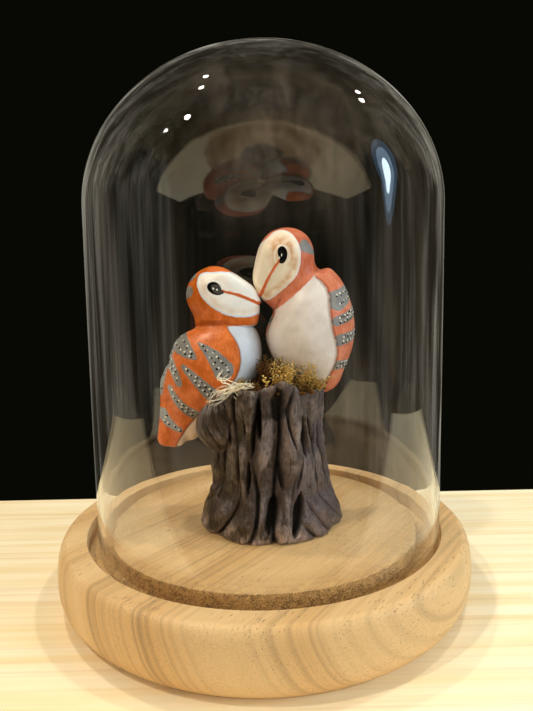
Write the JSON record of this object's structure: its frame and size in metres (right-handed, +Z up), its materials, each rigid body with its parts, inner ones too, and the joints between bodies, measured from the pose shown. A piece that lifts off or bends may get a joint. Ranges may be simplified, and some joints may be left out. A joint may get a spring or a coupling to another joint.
{
  "type": "painted owl figurines under a glass dome",
  "caption": "Painted barn owl figurines leaning head to head on a carved, mossy tree stump, on a turned wooden base under a lift-off glass dome.",
  "frame": {"origin": "centre of the base's flat underside", "axes": "+Z up through the dome's crown, -Y to the front, +X to the right of someone facing the front"},
  "size_m": [0.2, 0.2, 0.252],
  "materials": {
    "base_wood": "oiled pale wood",
    "dome_glass": "clear polished glass",
    "stump_finish": "dark brown cast bark, half-gloss",
    "owl_paint": "hand-painted, satin",
    "breast_paint": "hand-painted, satin",
    "eye_paint": "gloss paint",
    "dried_moss": "dry fibres"
  },
  "bodies": {
    "base": {"base": "base_wood", "stump": "stump_finish", "stump_branch_stub": "stump_finish", "moss": "dried_moss", "leaning_owl_head": "owl_paint", "leaning_owl_trunk": "breast_paint", "leaning_owl_left_wing": "owl_paint", "leaning_owl_right_wing": "owl_paint", "leaning_owl_tail": "owl_paint", "leaning_owl_left_eye": "eye_paint", "leaning_owl_right_eye": "eye_paint", "upright_owl": "owl_paint"},
    "dome": {"glass_dome": "dome_glass"}
  },
  "joints": [
    {"name": "dome_lift", "type": "slide", "parent": "base", "child": "dome", "axis": [0, 0, 1], "range_m": [0, 0.18]}
  ]
}
